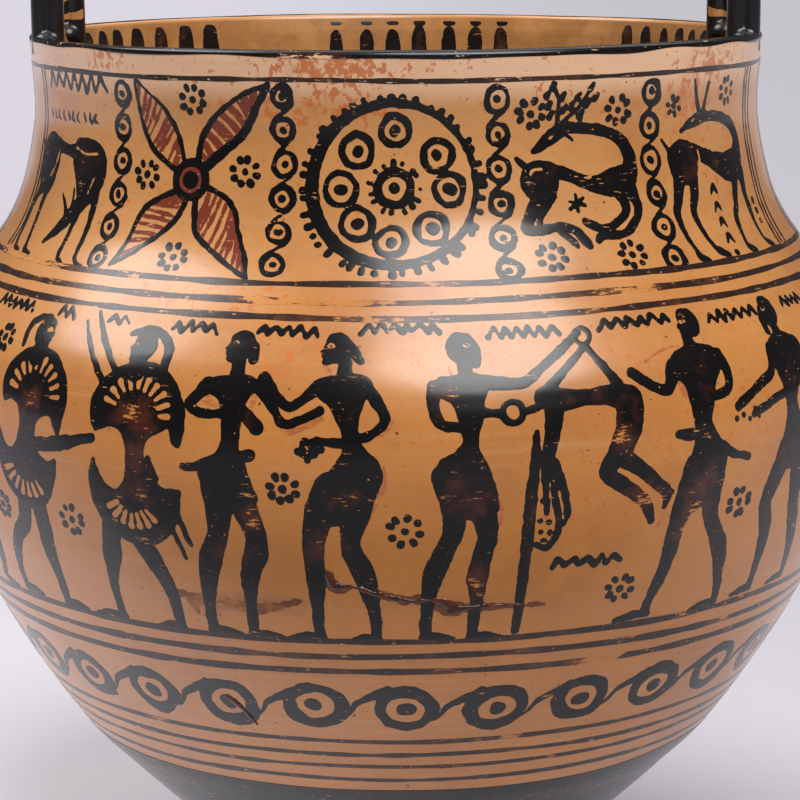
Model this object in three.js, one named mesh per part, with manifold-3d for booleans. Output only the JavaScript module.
// A Greek krater: a wheel-thrown bowl with a tall neck, a low flaring foot and two loop handles
// that stand on the rim, all fired together as one piece of clay.
// Units are millimetres, +Z is up, and the origin is under the middle of the foot.
import * as THREE from "three";
import { mergeVertices } from "three/addons/utils/BufferGeometryUtils.js";
import Module from "manifold-3d";

// ---- Driving dimensions -------------------------------------------------------------------
const RIM_HEIGHT = 397; // from the table to the top of the lip
const RIM_RADIUS = 158.3; // outer edge of the lip
const NECK_RADIUS = 157; // narrowest place of the neck, outside
const BELLY_RADIUS = 204.5; // widest place of the bowl, outside
const BELLY_HEIGHT = 240; // height of that widest place
const STEM_RADIUS = 66; // where the bowl meets the foot
const STEM_HEIGHT = 28;
const FOOT_RADIUS = 86; // outer edge of the foot on the table
const FOOT_EDGE = 6; // height of the foot's upright edge
const FOOT_RING = 14; // width of the ring that touches the table
const FOOT_RECESS = 9; // depth of the hollow under the foot

const EDGE_BULGE = 0.8; // how far the foot's edge swells
const EDGE_ROUND = 3; // how far the foot's upper edge is drawn in
const RECESS_SLOPE = 8; // width of the slope from the ring up into the hollow
const WALL = 8; // thickness of the bowl and neck
const FLOOR = 12; // thickness of the bowl's floor over the foot's hollow
const LIP_WALL = 7.5; // thickness at the lip
const LIP_ROUND = 2.6; // rounding of the lip's two edges

const LOOP_HALF_SPAN = 38; // from the middle of a handle to the middle of its leg
const LOOP_RISE = 69; // top of the rods' centre line above the rim
const LOOP_POWER = 2.5; // 2 would be a half ellipse; more gives upright legs
const ROD_RADIUS = 4; // each handle is two rods side by side
const ROD_SPACING = 6.2; // between the two rods' centre lines
const ROD_SINK = 8; // how far the rods' feet are pressed down into the lip
const FOOT_PAD = new THREE.Vector3(6.4, 7.6, 5.6); // half sizes of the clay smeared round each leg's foot

const AROUND = 60; // facets around the bowl
const PROFILE_STEPS = 21; // rings on the outside of the bowl
const ROD_SIDES = 8;
const ROD_STEPS = 20;
const PAD_SIDES = 12;
const PAD_RINGS = 6;

// ---- Solids ---------------------------------------------------------------------------------
const wasm = await Module();
wasm.setup();

// A closed geometry as a solid that can be joined to others.
function solidOf(geometry) {
  const bare = geometry.clone();
  bare.deleteAttribute("normal");
  bare.deleteAttribute("uv");
  const merged = mergeVertices(bare, 1e-4);
  const solid = new wasm.Manifold(
    new wasm.Mesh({
      numProp: 3,
      vertProperties: merged.attributes.position.array,
      triVerts: new Uint32Array(merged.index.array),
    }),
  );
  return solid;
}

// A solid's triangles as a geometry for drawing.
function geometryOf(solid) {
  const mesh = solid.getMesh();
  const geometry = new THREE.BufferGeometry();
  geometry.setAttribute("position", new THREE.BufferAttribute(mesh.vertProperties, 3));
  geometry.setIndex(new THREE.BufferAttribute(mesh.triVerts, 1));
  geometry.computeVertexNormals();
  return geometry;
}

// ---- Bowl -----------------------------------------------------------------------------------
// The outside of the bowl from the foot to the lip: radius, height.
function outerCurve() {
  return new THREE.SplineCurve([
    new THREE.Vector2(STEM_RADIUS, STEM_HEIGHT),
    new THREE.Vector2(98, 55),
    new THREE.Vector2(125, 81),
    new THREE.Vector2(147, 105),
    new THREE.Vector2(176.5, 152),
    new THREE.Vector2(196, 198),
    new THREE.Vector2(BELLY_RADIUS, BELLY_HEIGHT),
    new THREE.Vector2(200, BELLY_HEIGHT + 32),
    new THREE.Vector2(186.5, BELLY_HEIGHT + 55),
    new THREE.Vector2(166, BELLY_HEIGHT + 85),
    new THREE.Vector2(NECK_RADIUS, BELLY_HEIGHT + 120),
    new THREE.Vector2(NECK_RADIUS + 0.6, RIM_HEIGHT - 11),
    new THREE.Vector2(RIM_RADIUS - 0.2, RIM_HEIGHT - LIP_ROUND),
  ]);
}

// A quarter round from one point to another, bulging towards the corner between them.
function quarterRound(from, corner, to, steps) {
  return new THREE.QuadraticBezierCurve(from, corner, to).getPoints(steps).slice(1);
}

// The whole section from the axis under the foot, out, up, over the lip and down to the floor.
function bowlSection() {
  const curve = outerCurve();
  const outside = curve.getSpacedPoints(PROFILE_STEPS);
  const innerStart = STEM_HEIGHT + FLOOR;
  const inside = outside
    .map((point, index) => {
      const along = curve.getTangentAt(index / PROFILE_STEPS);
      const wall = index > PROFILE_STEPS - 3 ? LIP_WALL : WALL;
      return new THREE.Vector2(point.x - along.y * wall, point.y + along.x * wall);
    })
    .filter((point, index) => index > 1 && index < PROFILE_STEPS && point.y > innerStart)
    .reverse();
  const lipOuter = outside[PROFILE_STEPS];
  const lipInner = new THREE.Vector2(RIM_RADIUS - LIP_WALL, RIM_HEIGHT - LIP_ROUND);
  const ringInner = FOOT_RADIUS - FOOT_RING;
  return [
    new THREE.Vector2(0, FOOT_RECESS),
    new THREE.Vector2(ringInner - RECESS_SLOPE, FOOT_RECESS),
    new THREE.Vector2(ringInner, 0),
    new THREE.Vector2(FOOT_RADIUS, 0),
    ...quarterRound(
      new THREE.Vector2(FOOT_RADIUS, 0),
      new THREE.Vector2(FOOT_RADIUS + EDGE_BULGE, FOOT_EDGE),
      new THREE.Vector2(FOOT_RADIUS - EDGE_ROUND, FOOT_EDGE + EDGE_ROUND / 2),
      2,
    ),
    ...quarterRound(
      new THREE.Vector2(FOOT_RADIUS - EDGE_ROUND, FOOT_EDGE + EDGE_ROUND / 2),
      new THREE.Vector2(STEM_RADIUS - EDGE_ROUND, 0.6 * STEM_HEIGHT),
      outside[0],
      4,
    ),
    ...outside.slice(1),
    ...quarterRound(
      lipOuter,
      new THREE.Vector2(RIM_RADIUS, RIM_HEIGHT),
      new THREE.Vector2(RIM_RADIUS - LIP_ROUND, RIM_HEIGHT),
      2,
    ),
    new THREE.Vector2(RIM_RADIUS - LIP_WALL + LIP_ROUND, RIM_HEIGHT),
    ...quarterRound(
      new THREE.Vector2(RIM_RADIUS - LIP_WALL + LIP_ROUND, RIM_HEIGHT),
      new THREE.Vector2(RIM_RADIUS - LIP_WALL, RIM_HEIGHT),
      lipInner,
      2,
    ),
    ...inside,
    ...quarterRound(
      inside[inside.length - 1],
      new THREE.Vector2(0.62 * inside[inside.length - 1].x, innerStart),
      new THREE.Vector2(0, innerStart),
      4,
    ),
  ];
}

function makeBowl() {
  const lathe = new THREE.LatheGeometry(bowlSection(), AROUND);
  lathe.rotateX(Math.PI / 2);
  return solidOf(lathe);
}

// ---- Handles --------------------------------------------------------------------------------
// The centre line of one rod: a flat-topped arch across the X axis, with its feet in the lip.
class LoopCurve extends THREE.Curve {
  constructor(offset) {
    super();
    this.offset = offset;
  }

  getPoint(t, target = new THREE.Vector3()) {
    const angle = Math.PI * (1 - t);
    const round = (value) => Math.sign(value) * Math.abs(value) ** (2 / LOOP_POWER);
    const rise = LOOP_RISE + ROD_SINK;
    return target.set(
      this.offset,
      LOOP_HALF_SPAN * round(Math.cos(angle)),
      RIM_HEIGHT - ROD_SINK + rise * round(Math.sin(angle)),
    );
  }
}

function makeRod(offset) {
  const section = new THREE.Shape().absarc(0, 0, ROD_RADIUS, 0, 2 * Math.PI);
  const rod = new THREE.ExtrudeGeometry(section, {
    steps: ROD_STEPS,
    curveSegments: ROD_SIDES / 2,
    extrudePath: new LoopCurve(offset),
  });
  return solidOf(rod);
}

// The soft lump of clay that joins a leg's foot to the lip.
function makePad(x, y) {
  const pad = new THREE.SphereGeometry(1, PAD_SIDES, PAD_RINGS);
  pad.scale(FOOT_PAD.x, FOOT_PAD.y, FOOT_PAD.z);
  pad.rotateZ(Math.atan2(y, x));
  pad.translate(x, y, RIM_HEIGHT - FOOT_PAD.z + 2);
  return solidOf(pad);
}

// One handle on the side given by sign, +1 or -1 along X.
function makeHandle(sign) {
  const outerRod = Math.sqrt((RIM_RADIUS - ROD_RADIUS) ** 2 - LOOP_HALF_SPAN ** 2);
  const middle = outerRod - ROD_SPACING / 2;
  let handle = makeRod(sign * outerRod).add(makeRod(sign * (outerRod - ROD_SPACING)));
  for (const y of [-LOOP_HALF_SPAN, LOOP_HALF_SPAN]) {
    handle = handle.add(makePad(sign * (middle + 0.5), y));
  }
  return handle;
}

// ---- The krater -------------------------------------------------------------------------------
const slippedClay = new THREE.MeshStandardMaterial({
  color: 0xc9935c,
  roughness: 0.35,
  metalness: 0,
});

const krater = new THREE.Mesh(
  geometryOf(makeBowl().add(makeHandle(1)).add(makeHandle(-1))),
  slippedClay,
);
krater.name = "krater";

const part = new THREE.Group();
part.add(krater);

export default part;
